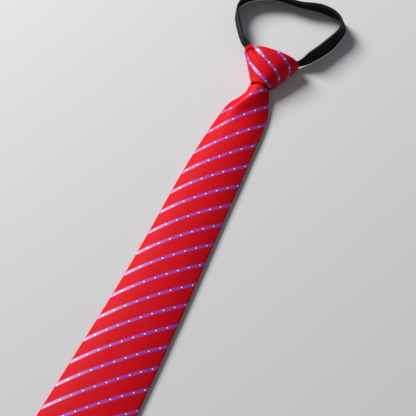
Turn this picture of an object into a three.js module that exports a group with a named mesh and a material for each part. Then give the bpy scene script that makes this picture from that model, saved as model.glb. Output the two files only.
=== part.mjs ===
// A pre-tied zipper necktie, lying on its back: a striped blade of folded cloth, a shaped knot, and a
// black neck strap of zip tape that stands on edge in a loop. Millimetres, +Z up. The blade runs along
// -Y from the knot's mouth to its tip, and the loop lies beyond the knot, towards +Y.
import * as THREE from 'three';

// Gap kept between pieces that touch on the real tie.
const CLEARANCE = 0.3;

// Blade: a flat tube of cloth whose two flaps meet in a seam along the middle of its back. Its front is
// thicker in the middle, where the interlining lies under the cloth.
const BLADE_LENGTH = 448;
const BLADE_WIDTH = 80;
const BLADE_WALL = 1.7;
const INTERLINING = 1.7;
const BLADE_CROWN = 4.4;
const EDGE_ROLL = 1.9;
const BACK_ARCH = 2.5;
const SEAM_GAP = 0.8;
const TIP_DEPTH = 40;
const NECK_INSERT = 8;
const NECK_THICKNESS = 7.4;
const PLEAT_RISE = 2.8;

// Knot: a hollow wedge of cloth over a stiff shell, wide at the top and narrow at its mouth.
const KNOT_LENGTH = 37;
const KNOT_TOP_WIDTH = 52.2;
const KNOT_MOUTH_WIDTH = 17.6;
const KNOT_TOP_HEIGHT = 20.5;
const KNOT_MOUTH_HEIGHT = 14;
const KNOT_WALL = 1.7;
const MOUTH_CURVE = 4.5;
const LIP_RISE = 1.5;
const NOTCH_DEPTH = 1.8;
const KNOT_DENT = 1.1;

// Neck strap: woven zip tape on edge, with the zip's coil along the inside of its upper edge.
const STRAP_HEIGHT = 14.5;
const STRAP_THICKNESS = 1.1;
const LOOP_WIDTH = 101;
const LOOP_DEPTH = 73.5;
const STRAP_LEAN = 4;
const COIL_WIDTH = 1.3;
const COIL_HEIGHT = 2.6;
const COIL_INSET = 0.5;

// Slider and closed zip behind the knot and blade.
const SLIDER_LENGTH = 13;
const SLIDER_WIDTH = 11;
const SLIDER_THICKNESS = 6;
const TAIL_LENGTH = 165;
const TAIL_WIDTH = 28;
const TAIL_THICKNESS = 1.1;
const TAIL_COIL_WIDTH = 5;
const TAIL_COIL_HEIGHT = 0.6;

// Mesh fineness.
const TOP_SAMPLES = 14;
const ROLL_SAMPLES = 4;
const BACK_SAMPLES = 4;
const KNOT_SAMPLES = 36;
const STRAP_STEPS = 84;

// Outline of the blade seen from the front. along is a share of the blade's length from the mouth,
// left and right are shares of its width, lift is a share of the neck's height off the floor, and
// crown is a share of the blade's crown.
const BLADE_ROWS = [
  { along: 0.006, left: 0.136, right: 0.100, lift: 0.80, crown: 0.95 },
  { along: 0.014, left: 0.146, right: 0.120, lift: 0.62, crown: 1.05 },
  { along: 0.0235, left: 0.163, right: 0.138, lift: 0.43, crown: 1.12 },
  { along: 0.031, left: 0.196, right: 0.154, lift: 0.32, crown: 1.16 },
  { along: 0.037, left: 0.226, right: 0.166, lift: 0.22, crown: 1.19 },
  { along: 0.043, left: 0.254, right: 0.178, lift: 0.15, crown: 1.20 },
  { along: 0.058, left: 0.290, right: 0.200, lift: 0.04, crown: 1.18 },
  { along: 0.080, left: 0.312, right: 0.217, lift: 0.00, crown: 1.12 },
  { along: 0.114, left: 0.331, right: 0.235, lift: 0.00, crown: 1.06 },
  { along: 0.170, left: 0.354, right: 0.252, lift: 0.00, crown: 1.00 },
  { along: 0.225, left: 0.369, right: 0.274, lift: 0.00, crown: 1.00 },
  { along: 0.290, left: 0.377, right: 0.293, lift: 0.00, crown: 1.00 },
  { along: 0.368, left: 0.379, right: 0.322, lift: 0.00, crown: 1.00 },
  { along: 0.446, left: 0.384, right: 0.350, lift: 0.00, crown: 1.00 },
  { along: 0.525, left: 0.394, right: 0.377, lift: 0.00, crown: 1.00 },
  { along: 0.603, left: 0.412, right: 0.400, lift: 0.00, crown: 1.00 },
  { along: 0.670, left: 0.432, right: 0.420, lift: 0.00, crown: 1.00 },
  { along: 0.759, left: 0.458, right: 0.443, lift: 0.00, crown: 1.00 },
  { along: 0.857, left: 0.487, right: 0.472, lift: 0.00, crown: 0.95 },
  { along: 0.911, left: 0.500, right: 0.488, lift: 0.00, crown: 0.85 },
];

// The pleat that rolls the blade's left side up below the knot. across is its ridge as a share of the
// left width, rise is a share of the pleat's rise, and spread is the ridge's width as such a share.
const PLEAT_ROWS = [
  { along: 0.000, across: 0.55, rise: 0.0, spread: 0.25 },
  { along: 0.022, across: 0.66, rise: 0.7, spread: 0.22 },
  { along: 0.045, across: 0.74, rise: 1.0, spread: 0.20 },
  { along: 0.070, across: 0.80, rise: 0.6, spread: 0.18 },
  { along: 0.105, across: 0.86, rise: 0.0, spread: 0.16 },
];

// Knot from mouth to top. along is a share of its length, spread is the way from the mouth's width to
// the top's, height is the way from the mouth's height to the top's, and full squares the shoulders.
const KNOT_ROWS = [
  { along: 0.00, spread: 0.00, height: 0.00, full: 2.2 },
  { along: 0.11, spread: 0.05, height: 0.12, full: 2.2 },
  { along: 0.235, spread: 0.18, height: 0.30, full: 2.25 },
  { along: 0.36, spread: 0.32, height: 0.50, full: 2.3 },
  { along: 0.49, spread: 0.47, height: 0.68, full: 2.35 },
  { along: 0.62, spread: 0.61, height: 0.82, full: 2.4 },
  { along: 0.75, spread: 0.75, height: 0.93, full: 2.45 },
  { along: 0.875, spread: 0.88, height: 1.00, full: 2.5 },
  { along: 1.00, spread: 1.00, height: 0.99, full: 2.5 },
];

// Middle line of the knot, whose mouth and top are a little left of the blade's axis.
const MOUTH_OFFSET = -2;
const TOP_OFFSET = -5.2;

// Route of the neck strap seen from above, from inside the knot round the loop and back, between its
// two ends at the slider. across is a share of the loop's width from its middle, deep is a share of its
// depth beyond the knot's top, lift is the strap's lower edge as a share of its place inside the knot,
// tall is a share of its height, and lean is how far its upper edge leans in, as a share of the most.
const STRAP_ROWS = [
  { across: -0.060, deep: -0.063, lift: 1.0, tall: 0.56, lean: 0.0 },
  { across: -0.150, deep: 0.000, lift: 1.2, tall: 0.66, lean: 0.0 },
  { across: -0.232, deep: 0.063, lift: 0.9, tall: 0.82, lean: 0.0 },
  { across: -0.312, deep: 0.145, lift: 0.0, tall: 1.0, lean: 0.0 },
  { across: -0.416, deep: 0.353, lift: 0.0, tall: 1.0, lean: 0.3 },
  { across: -0.483, deep: 0.536, lift: 0.0, tall: 1.0, lean: 0.4 },
  { across: -0.474, deep: 0.710, lift: 0.0, tall: 1.0, lean: 0.7 },
  { across: -0.385, deep: 0.840, lift: 0.0, tall: 1.0, lean: 1.0 },
  { across: -0.200, deep: 0.938, lift: 0.0, tall: 1.0, lean: 1.2 },
  { across: 0.020, deep: 0.942, lift: 0.0, tall: 1.0, lean: 1.2 },
  { across: 0.200, deep: 0.981, lift: 0.0, tall: 1.0, lean: 0.4 },
  { across: 0.330, deep: 0.968, lift: 0.0, tall: 1.0, lean: 0.4 },
  { across: 0.424, deep: 0.926, lift: 0.0, tall: 1.0, lean: 1.1 },
  { across: 0.476, deep: 0.835, lift: 0.0, tall: 1.0, lean: 0.9 },
  { across: 0.486, deep: 0.700, lift: 0.0, tall: 1.0, lean: 0.6 },
  { across: 0.436, deep: 0.459, lift: 0.0, tall: 1.0, lean: 1.0 },
  { across: 0.338, deep: 0.189, lift: 0.0, tall: 1.0, lean: 0.4 },
  { across: 0.270, deep: 0.073, lift: 0.3, tall: 0.62, lean: 0.0 },
  { across: 0.190, deep: 0.005, lift: 1.0, tall: 0.56, lean: 0.0 },
  { across: 0.110, deep: -0.063, lift: 1.0, tall: 0.56, lean: 0.0 },
];
const LOOP_MIDDLE = -8;

// Reads a column of a table at a place along it, on a smooth curve through its rows.
function readColumn(rows, key, at) {
  const last = rows.length - 1;
  let i = 0;
  while (i < last - 1 && at > rows[i + 1].along) {
    i += 1;
  }
  const a = rows[Math.max(i - 1, 0)];
  const b = rows[i];
  const c = rows[i + 1];
  const d = rows[Math.min(i + 2, last)];
  const span = c.along - b.along;
  const t = THREE.MathUtils.clamp((at - b.along) / span, 0, 1);
  const slopeB = ((c[key] - a[key]) / (c.along - a.along)) * span;
  const slopeC = ((d[key] - b[key]) / (d.along - b.along)) * span;
  const t2 = t * t;
  const t3 = t2 * t;
  const fromB = (2 * t3 - 3 * t2 + 1) * b[key] + (t3 - 2 * t2 + t) * slopeB;
  const fromC = (3 * t2 - 2 * t3) * c[key] + (t3 - t2) * slopeC;
  return fromB + fromC;
}

// Makes a closed mesh from points and triangles, facing outwards.
function solid(points, triangles) {
  let volume = 0;
  for (const [a, b, c] of triangles) {
    volume += points[a].dot(new THREE.Vector3().crossVectors(points[b], points[c]));
  }
  const faces = volume > 0 ? triangles : triangles.map(([a, b, c]) => [a, c, b]);
  const geometry = new THREE.BufferGeometry();
  geometry.setAttribute('position', new THREE.Float32BufferAttribute(points.flatMap((p) => p.toArray()), 3));
  geometry.setIndex(faces.flat());
  geometry.computeVertexNormals();
  return geometry;
}

// Joins rings of equal count into a skin. Each ring is closed, and the last meets the first in a
// torus, as the outer and inner walls of a tube do.
function torusSolid(rings) {
  const count = rings[0].length;
  const triangles = [];
  for (let i = 0; i < rings.length; i += 1) {
    const next = (i + 1) % rings.length;
    for (let j = 0; j < count; j += 1) {
      const k = (j + 1) % count;
      triangles.push([i * count + j, next * count + j, next * count + k]);
      triangles.push([i * count + j, next * count + k, i * count + k]);
    }
  }
  return solid(rings.flat(), triangles);
}

// Joins rings of equal count into a bar whose two ends are closed by the triangles of the cap.
function barSolid(rings, cap) {
  const count = rings[0].length;
  const triangles = [];
  for (let i = 0; i < rings.length - 1; i += 1) {
    for (let j = 0; j < count; j += 1) {
      const k = (j + 1) % count;
      triangles.push([i * count + j, (i + 1) * count + j, (i + 1) * count + k]);
      triangles.push([i * count + j, (i + 1) * count + k, i * count + k]);
    }
  }
  const end = (rings.length - 1) * count;
  for (const [a, b, c] of cap) {
    triangles.push([a, b, c]);
    triangles.push([end + a, end + c, end + b]);
  }
  return solid(rings.flat(), triangles);
}

// Triangles that close a convex ring.
function fanCap(count) {
  const cap = [];
  for (let j = 1; j < count - 1; j += 1) {
    cap.push([0, j, j + 1]);
  }
  return cap;
}

// Triangles that close a strip section: a path of points out and the same path back on its inside.
function stripCap(count) {
  const cap = [];
  for (let j = 0; j < count - 1; j += 1) {
    const inner = 2 * count - 1 - j;
    cap.push([j, j + 1, inner - 1]);
    cap.push([j, inner - 1, inner]);
  }
  return cap;
}

// Height of the closed zip's underside inside the knot, and of the blade's neck above it.
const KNOT_FLOOR = KNOT_WALL + CLEARANCE;
const NECK_LIFT = KNOT_FLOOR + TAIL_THICKNESS + TAIL_COIL_HEIGHT + 2 * CLEARANCE;
const NECK_HALF = KNOT_MOUTH_WIDTH / 2 - KNOT_WALL - 2 * CLEARANCE;

// Where the slider starts and ends above the mouth, clear of the blade's neck.
const SLIDER_FOOT = NECK_INSERT + 10 * CLEARANCE;
const SLIDER_TOP = SLIDER_FOOT + SLIDER_LENGTH;

// Size of the blade's section at a distance from the mouth. Inside the mouth it is the neck.
function bladeSection(distance) {
  const share = distance / BLADE_LENGTH;
  const shoulder = BLADE_LENGTH - TIP_DEPTH;
  const at = Math.min(share, BLADE_ROWS[BLADE_ROWS.length - 1].along);
  const narrowing = distance > shoulder ? (BLADE_LENGTH - distance) / TIP_DEPTH : 1;
  const smallest = EDGE_ROLL + SEAM_GAP;
  const tableAt = Math.max(at, BLADE_ROWS[0].along);
  const size = {
    left: readColumn(BLADE_ROWS, 'left', tableAt) * BLADE_WIDTH,
    right: readColumn(BLADE_ROWS, 'right', tableAt) * BLADE_WIDTH,
    lift: Math.max(readColumn(BLADE_ROWS, 'lift', tableAt), 0) * NECK_LIFT,
    crown: readColumn(BLADE_ROWS, 'crown', tableAt) * BLADE_CROWN,
    arch: BACK_ARCH,
  };
  const middle = (size.right - size.left) / 2;
  const half = (size.right + size.left) / 2;
  const shrunk = THREE.MathUtils.lerp(smallest, half, narrowing);
  size.left = shrunk - middle * narrowing;
  size.right = shrunk + middle * narrowing;
  const tipShare = Math.sqrt(narrowing);
  size.crown *= tipShare;
  size.arch *= tipShare;
  if (distance < BLADE_ROWS[0].along * BLADE_LENGTH) {
    size.left = NECK_HALF - MOUTH_OFFSET;
    size.right = NECK_HALF + MOUTH_OFFSET;
    size.lift = NECK_LIFT;
    size.crown = NECK_THICKNESS - 2 * EDGE_ROLL;
    size.arch = 0;
  }
  return size;
}

// Rise of the pleat at a place across the blade's left half.
function pleatRise(share, x, left) {
  const rows = PLEAT_ROWS;
  if (share < rows[0].along || share > rows[rows.length - 1].along || x > 0) {
    return 0;
  }
  const ridge = -readColumn(rows, 'across', share) * left;
  const spread = readColumn(rows, 'spread', share) * left;
  const rise = Math.max(readColumn(rows, 'rise', share), 0) * PLEAT_RISE;
  return rise * Math.exp(-(((x - ridge) / spread) ** 2));
}

// The strip section of the blade: from the seam at the back, round the left edge, over the crown,
// round the right edge and back to the seam, then the same path on the wall's inside.
function bladeRing(distance) {
  const size = bladeSection(distance);
  const leftBend = -size.left + EDGE_ROLL;
  const rightBend = size.right - EDGE_ROLL;
  const middle = (size.right - size.left) / 2;
  const seam = SEAM_GAP / 2;
  const backHeight = (x, bend) => size.arch * (1 - Math.abs((x - middle) / (bend - middle)) ** 3);
  const outer = [];
  const walls = [];
  const lay = (x, z, wall = BLADE_WALL) => {
    outer.push(new THREE.Vector2(x, z));
    walls.push(wall);
  };
  for (let i = 0; i < BACK_SAMPLES; i += 1) {
    const x = THREE.MathUtils.lerp(middle - seam, leftBend, i / BACK_SAMPLES);
    lay(x, backHeight(x, leftBend));
  }
  for (let i = 0; i < ROLL_SAMPLES; i += 1) {
    const angle = -Math.PI / 2 - (Math.PI * i) / ROLL_SAMPLES;
    lay(leftBend + EDGE_ROLL * Math.cos(angle), EDGE_ROLL * (1 + Math.sin(angle)));
  }
  for (let i = 0; i <= TOP_SAMPLES; i += 1) {
    const u = -Math.cos((Math.PI * i) / TOP_SAMPLES);
    const x = (leftBend + rightBend) / 2 + (u * (rightBend - leftBend)) / 2;
    const crown = size.crown * (1 - Math.abs(u) ** 2.4);
    const rise = pleatRise(distance / BLADE_LENGTH, x, size.left);
    const padding = ((INTERLINING * size.crown) / BLADE_CROWN) * (1 - u ** 2);
    lay(x, 2 * EDGE_ROLL + crown + rise, BLADE_WALL + padding);
  }
  for (let i = 1; i <= ROLL_SAMPLES; i += 1) {
    const angle = Math.PI / 2 - (Math.PI * i) / ROLL_SAMPLES;
    lay(rightBend + EDGE_ROLL * Math.cos(angle), EDGE_ROLL * (1 + Math.sin(angle)));
  }
  for (let i = 1; i <= BACK_SAMPLES; i += 1) {
    const x = THREE.MathUtils.lerp(rightBend, middle + seam, i / BACK_SAMPLES);
    lay(x, backHeight(x, rightBend));
  }
  const inner = outer.map((point, i) => {
    const before = outer[Math.max(i - 1, 0)];
    const after = outer[Math.min(i + 1, outer.length - 1)];
    const way = after.clone().sub(before).normalize();
    return new THREE.Vector2(point.x + way.y * walls[i], point.y - way.x * walls[i]);
  });
  const section = [...outer, ...inner.reverse()];
  return section.map((p) => new THREE.Vector3(p.x, -distance, p.y + size.lift));
}

// Distances from the mouth at which the blade's section is set: close together at the neck and tip.
function bladeStations() {
  const stations = [-NECK_INSERT, -NECK_INSERT / 2, 0];
  const first = BLADE_ROWS[0].along * BLADE_LENGTH;
  const shoulder = BLADE_LENGTH - TIP_DEPTH;
  const neckSteps = 12;
  const bodySteps = 17;
  const tipSteps = 6;
  const neckEnd = PLEAT_ROWS[PLEAT_ROWS.length - 1].along * BLADE_LENGTH;
  for (let i = 0; i < neckSteps; i += 1) {
    stations.push(THREE.MathUtils.lerp(first, neckEnd, (i / neckSteps) ** 1.3));
  }
  for (let i = 0; i < bodySteps; i += 1) {
    stations.push(THREE.MathUtils.lerp(neckEnd, shoulder, i / bodySteps));
  }
  for (let i = 0; i <= tipSteps; i += 1) {
    stations.push(THREE.MathUtils.lerp(shoulder, BLADE_LENGTH, i / tipSteps));
  }
  return stations;
}

function frontBlade() {
  const rings = bladeStations().map(bladeRing);
  return barSolid(rings, stripCap(rings[0].length / 2));
}

// Depth of the soft dent under the knot's lip, where the cloth is tucked at its left shoulder.
function dentDepth(across, along) {
  const place = ((across + 0.62) / 0.2) ** 2 + ((along - 0.85) / 0.14) ** 2;
  return KNOT_DENT * Math.exp(-place);
}

// How far the top rim stands out: a pointed lip at the left, and a shallow notch beside it.
function lipRise(across) {
  const lip = LIP_RISE * Math.exp(-(((across + 0.82) / 0.09) ** 2));
  const notch = NOTCH_DEPTH * Math.exp(-(((across + 0.62) / 0.13) ** 2));
  return lip - notch;
}

// One ring of the knot: a flat back on the floor and a rounded front, inset by the wall or not.
function knotRing(row, inset) {
  const half = THREE.MathUtils.lerp(KNOT_MOUTH_WIDTH, KNOT_TOP_WIDTH, row.spread) / 2 - inset;
  const height = THREE.MathUtils.lerp(KNOT_MOUTH_HEIGHT, KNOT_TOP_HEIGHT, row.height);
  const middle = THREE.MathUtils.lerp(MOUTH_OFFSET, TOP_OFFSET, row.spread);
  const waist = height * 0.36;
  const above = height - waist - inset;
  const below = waist - inset;
  const squareBack = 3.2;
  const overshoot = 1.12;
  const ring = [];
  for (let j = 0; j < KNOT_SAMPLES; j += 1) {
    const angle = (2 * Math.PI * (j + 0.5)) / KNOT_SAMPLES;
    const cos = Math.cos(angle);
    const sin = Math.sin(angle);
    const power = 2 / (sin > 0 ? row.full : squareBack);
    const x = middle + half * Math.sign(cos) * Math.abs(cos) ** power;
    const rising = Math.sign(sin) * Math.abs(sin) ** power;
    const across = (x - middle) / (half + inset);
    const front = waist + above * rising - dentDepth(across, row.along);
    const z = sin > 0 ? front : waist + below * Math.max(rising * overshoot, -1);
    const lowness = 1 - Math.max(rising, 0);
    const top = sin > 0 ? row.along ** 6 * lipRise(across) : 0;
    const mouth = (1 - row.along) ** 6 * lowness ** 1.5 * MOUTH_CURVE;
    ring.push(new THREE.Vector3(x, row.along * KNOT_LENGTH + top + mouth, z));
  }
  return ring;
}

function knotWrap() {
  const outer = KNOT_ROWS.map((row) => knotRing(row, 0));
  const inner = KNOT_ROWS.map((row) => knotRing(row, KNOT_WALL));
  return torusSolid([...outer, ...inner.reverse()]);
}

// Points along the strap's middle line, with the strap's lift, height and lean at each.
function strapRoute() {
  const endTall = SLIDER_THICKNESS / STRAP_HEIGHT;
  const endPoint = (side) => new THREE.Vector3(
    MOUTH_OFFSET + side * SLIDER_WIDTH * 0.25,
    SLIDER_TOP + CLEARANCE + STRAP_THICKNESS / 2,
    1,
  );
  const loop = STRAP_ROWS.map((row) => new THREE.Vector3(
    LOOP_MIDDLE + row.across * LOOP_WIDTH,
    KNOT_LENGTH + row.deep * LOOP_DEPTH,
    row.lift,
  ));
  const knots = [endPoint(-1), ...loop, endPoint(1)];
  const set = (row) => new THREE.Vector3(row.tall, row.lean, 0);
  const end = new THREE.Vector3(endTall, 0, 0);
  const settings = [end, ...STRAP_ROWS.map(set), end];
  const route = new THREE.CatmullRomCurve3(knots, false, 'centripetal');
  const shape = new THREE.CatmullRomCurve3(settings, false, 'catmullrom');
  const points = [];
  for (let i = 0; i <= STRAP_STEPS; i += 1) {
    const t = i / STRAP_STEPS;
    const p = route.getPoint(t);
    const way = route.getTangent(t);
    const side = new THREE.Vector3(way.y, -way.x, 0).normalize();
    const tall = Math.min(shape.getPoint(t).x, 1) * STRAP_HEIGHT;
    const lean = Math.max(shape.getPoint(t).y, 0) * STRAP_LEAN;
    points.push({ x: p.x, y: p.y, side, foot: Math.max(p.z, 0) * KNOT_FLOOR, tall, lean });
  }
  return points;
}

// A band that stands on the strap's route, from one height to another above its foot, and from one
// offset to another to its inside.
function bandRings(low, high, near, far) {
  return strapRoute().map((p) => {
    const corner = (offset, above) => {
      const inward = offset + p.lean * (above / p.tall - 0.5);
      return new THREE.Vector3(p.x + p.side.x * inward, p.y + p.side.y * inward, p.foot + above);
    };
    const bottom = low(p.tall);
    const top = high(p.tall);
    return [corner(near, bottom), corner(far, bottom), corner(far, top), corner(near, top)];
  });
}

function neckStrap() {
  const half = STRAP_THICKNESS / 2;
  return barSolid(bandRings(() => 0, (tall) => tall, -half, half), fanCap(4));
}

// The coil stands on the inner face of the strap, along its upper edge, on the open loop only.
function strapCoil() {
  const near = STRAP_THICKNESS / 2 + CLEARANCE;
  const top = (tall) => tall - COIL_INSET;
  const rings = bandRings((tall) => top(tall) - COIL_HEIGHT, top, near, near + COIL_WIDTH);
  const skip = Math.round(STRAP_STEPS * 0.2);
  return barSolid(rings.slice(skip, rings.length - skip), fanCap(4));
}

// The slider is a wedge, wider at the end where the two tapes part.
function zipSlider() {
  const half = SLIDER_WIDTH / 2;
  const narrow = half * 0.72;
  const outline = new THREE.Shape();
  outline.moveTo(-narrow, 0);
  outline.lineTo(narrow, 0);
  outline.lineTo(half, SLIDER_LENGTH * 0.7);
  outline.quadraticCurveTo(half, SLIDER_LENGTH, half * 0.5, SLIDER_LENGTH);
  outline.lineTo(-half * 0.5, SLIDER_LENGTH);
  outline.quadraticCurveTo(-half, SLIDER_LENGTH, -half, SLIDER_LENGTH * 0.7);
  outline.closePath();
  return new THREE.ExtrudeGeometry(outline, {
    depth: SLIDER_THICKNESS,
    bevelEnabled: false,
    curveSegments: 4,
  });
}

// Half width and height of the closed zip at a distance from the mouth. It narrows to pass the mouth
// under the blade's neck, and lies on the floor beyond it.
function tailSection(distance) {
  const neck = NECK_HALF * 0.72;
  const open = THREE.MathUtils.smoothstep(distance, 8, 64);
  const down = THREE.MathUtils.smoothstep(distance, 1, 24);
  return {
    half: THREE.MathUtils.lerp(neck, TAIL_WIDTH / 2, open),
    foot: THREE.MathUtils.lerp(KNOT_FLOOR, 0, down),
  };
}

function tailRings(halfWidth, low, high) {
  const start = -SLIDER_FOOT + CLEARANCE;
  const stations = [start, 0, 4, 8, 12, 16, 20, 25, 32, 40, 48, 56, 64, TAIL_LENGTH / 2, TAIL_LENGTH];
  return stations.map((distance) => {
    const size = tailSection(distance);
    const half = halfWidth(size.half);
    const corner = (x, z) => new THREE.Vector3(MOUTH_OFFSET + x, -distance, size.foot + z);
    return [corner(-half, low), corner(half, low), corner(half, high), corner(-half, high)];
  });
}

function zipTail() {
  return barSolid(tailRings((half) => half, 0, TAIL_THICKNESS), fanCap(4));
}

function tailCoil() {
  const low = TAIL_THICKNESS + CLEARANCE;
  return barSolid(tailRings(() => TAIL_COIL_WIDTH / 2, low, low + TAIL_COIL_HEIGHT), fanCap(4));
}

// Finishes.
const redSilk = () => new THREE.MeshStandardMaterial({ color: 0xc8141f, roughness: 0.42, metalness: 0 });
const blackTape = () => new THREE.MeshStandardMaterial({ color: 0x141416, roughness: 0.8, metalness: 0 });
const blackNylon = () => new THREE.MeshStandardMaterial({ color: 0x1a1a1c, roughness: 0.5, metalness: 0 });

const tie = new THREE.Group();

function place(name, geometry, material) {
  const mesh = new THREE.Mesh(geometry, material);
  mesh.name = name;
  tie.add(mesh);
  return mesh;
}

place('front_blade', frontBlade(), redSilk());
place('knot_wrap', knotWrap(), redSilk());
place('neck_strap', neckStrap(), blackTape());
place('strap_coil', strapCoil(), blackNylon());
place('zip_tail', zipTail(), blackTape());
place('tail_coil', tailCoil(), blackNylon());
const slider = place('zip_slider', zipSlider(), blackNylon());
slider.position.set(MOUTH_OFFSET, SLIDER_FOOT, KNOT_FLOOR);

// The origin is the middle of the tie's outline on the floor.
const box = new THREE.Box3().setFromObject(tie);
const centre = box.getCenter(new THREE.Vector3());
tie.position.set(-centre.x, -centre.y, -box.min.z);

export default tie;
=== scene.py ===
# %% [markdown]
# # A zipper necktie, dressed on its frame
#
# The real thing is a ready-made tie: a striped silk blade comes out of a knot that is never untied, and
# a black zip strap goes round the neck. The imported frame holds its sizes. This file loads that frame
# and lays the visible cloth, tape and zip over it, one piece in each cell.

import math

import bpy
import numpy as np
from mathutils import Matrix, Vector


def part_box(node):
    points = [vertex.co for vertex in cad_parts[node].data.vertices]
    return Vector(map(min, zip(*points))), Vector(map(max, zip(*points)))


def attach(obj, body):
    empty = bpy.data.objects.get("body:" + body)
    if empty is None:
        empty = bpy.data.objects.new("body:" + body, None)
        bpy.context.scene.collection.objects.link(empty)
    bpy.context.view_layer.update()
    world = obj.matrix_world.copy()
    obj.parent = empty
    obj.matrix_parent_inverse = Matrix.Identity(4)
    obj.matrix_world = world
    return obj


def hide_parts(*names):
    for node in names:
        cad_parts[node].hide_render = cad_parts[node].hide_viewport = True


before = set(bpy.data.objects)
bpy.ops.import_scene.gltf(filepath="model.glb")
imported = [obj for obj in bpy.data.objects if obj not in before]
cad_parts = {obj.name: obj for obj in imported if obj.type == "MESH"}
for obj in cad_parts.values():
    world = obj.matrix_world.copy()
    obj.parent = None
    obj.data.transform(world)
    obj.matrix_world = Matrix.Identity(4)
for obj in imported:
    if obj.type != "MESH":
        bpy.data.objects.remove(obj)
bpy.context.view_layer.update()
MM = 0.001

# %% [markdown]
# Every place below is written in millimetres from the knot's mouth, on the blade's axis, with the floor
# at nought, because a tie maker measures from there. The frame's origin is the middle of the outline,
# so one offset carries the pieces over. It is read from the slider, which sits on the axis, a known
# way above the mouth.

# %% Where the mouth of the knot is
AXIS_TO_SLIDER = -2.0
MOUTH_TO_SLIDER = 11.0
slider_low, slider_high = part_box("zip_slider")
MOUTH = np.array([
    (slider_low[0] + slider_high[0]) / 2 / MM - AXIS_TO_SLIDER,
    slider_low[1] / MM - MOUTH_TO_SLIDER,
    0.0,
])
print("the mouth is at", MOUTH.round(2), "mm in the frame")

# %% [markdown]
# A surface is a grid of points worked out as whole arrays. This helper turns such a grid into a mesh.
# It can close the grid round in columns, as a tube does, or in rows too, as a ring does, and it turns
# the faces outwards by the sign of the volume they enclose. Cloth needs its own coordinates, so a grid
# may come with them, in metres of cloth, and they go into a UV map.

# %% Grids into meshes
def grid_faces(rows, columns, wrap_rows, wrap_columns):
    """Corner rows and columns of each quad: a cell's four corners, going round, with no wrapping yet."""
    i, j = np.meshgrid(
        np.arange(rows if wrap_rows else rows - 1),
        np.arange(columns if wrap_columns else columns - 1),
        indexing="ij",
    )
    corner_i = np.stack([i, i + 1, i + 1, i], axis=-1).reshape(-1, 4)
    corner_j = np.stack([j, j, j + 1, j + 1], axis=-1).reshape(-1, 4)
    return corner_i, corner_j


def signed_volume(points, faces):
    """Six times the volume under quads: the sum of their two triangles' triple products."""
    a, b, c, d = (points[faces[:, k]] for k in range(4))
    first = np.einsum("ij,ij->i", a, np.cross(b, c))
    second = np.einsum("ij,ij->i", a, np.cross(c, d))
    return float(first.sum() + second.sum())


def make_piece(name, points, faces, material, cloth=None, sharp=50.0):
    """A mesh object from points in mm from the mouth and quads. Each point gains the mouth's place and is
    scaled to metres, and the faces are turned round where the volume they enclose is negative."""
    if signed_volume(points, faces) < 0:
        faces = faces[:, ::-1]
        cloth = None if cloth is None else cloth[:, ::-1]
    mesh = bpy.data.meshes.new(name)
    mesh.from_pydata(((points + MOUTH) * MM).tolist(), [], faces.tolist())
    if cloth is not None:
        layer = mesh.uv_layers.new(name="cloth")
        layer.data.foreach_set("uv", (cloth.reshape(-1, 2) * MM).ravel())
    mesh.polygons.foreach_set("use_smooth", np.ones(len(mesh.polygons), dtype=bool))
    mesh.set_sharp_from_angle(angle=math.radians(sharp))
    mesh.materials.append(material)
    piece = bpy.data.objects.new(name, mesh)
    bpy.context.scene.collection.objects.link(piece)
    print(f"{name}: {2 * len(faces)} triangles")
    return piece


def grid_piece(name, grid, material, cloth=None, wrap_rows=False, wrap_columns=False, caps=None, sharp=50.0):
    """A piece from a rows by columns grid: point number i times the columns plus j is its cell i, j.
    cloth has one more row or column where the grid wraps. caps holds quads of column numbers, which
    close the first row, and in turn the last."""
    rows, columns = grid.shape[:2]
    corner_i, corner_j = grid_faces(rows, columns, wrap_rows, wrap_columns)
    faces = (corner_i % rows) * columns + corner_j % columns
    corners = None if cloth is None else cloth[corner_i, corner_j]
    if caps is not None:
        faces = np.concatenate([faces, caps[:, ::-1], (rows - 1) * columns + caps])
        if corners is not None:
            corners = np.concatenate([corners, cloth[0][caps[:, ::-1]], cloth[-1][caps]])
    return make_piece(name, grid.reshape(-1, 3), faces, material, corners, sharp)


print("quads of a tube of 3 rings of 8 points:", len(grid_faces(3, 8, False, True)[0]))

# %% [markdown]
# ## The striped silk
#
# The cloth is red with a satin face, crossed by narrow violet stripes that carry a white dot at each
# step. It could be painted on as a picture, but a woven pattern is a rule: stripes at one angle and
# pitch, dots at one spacing, each stripe's dots shifted against the last. So one node group works it
# out from the cloth's own coordinates, and the blade and the knot each set their own angle and phase.

# %% A small kit for node groups
def new_group(name, vectors, floats, outputs):
    """An empty shader node group with named vector and float inputs, and float outputs."""
    group = bpy.data.node_groups.new(name, "ShaderNodeTree")
    sockets = [(label, "INPUT", "NodeSocketVector") for label in vectors]
    sockets += [(label, "INPUT", "NodeSocketFloat") for label in floats]
    sockets += [(label, "OUTPUT", "NodeSocketFloat") for label in outputs]
    for label, way, kind in sockets:
        group.interface.new_socket(name=label, in_out=way, socket_type=kind)
    return group, group.nodes.new("NodeGroupInput"), group.nodes.new("NodeGroupOutput")


def math_step(tree, operation, *values, clamp=False):
    """One Math node, fed by sockets or by plain numbers. Gives its output socket."""
    node = tree.nodes.new("ShaderNodeMath")
    node.operation = operation
    node.use_clamp = clamp
    for slot, value in zip(node.inputs, values):
        if isinstance(value, (int, float)):
            slot.default_value = value
        else:
            tree.links.new(value, slot)
    return node.outputs[0]


def soft_mask(tree, distance, edge, blur):
    """One where distance is under edge, nought past it, with a soft step from edge less blur to edge
    plus blur."""
    node = tree.nodes.new("ShaderNodeMapRange")
    node.interpolation_type = "SMOOTHSTEP"
    tree.links.new(distance, node.inputs["Value"])
    ends = {"From Min": edge - blur, "From Max": edge + blur, "To Min": 1.0, "To Max": 0.0}
    for label, value in ends.items():
        node.inputs[label].default_value = value
    return node.outputs["Result"]

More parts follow.
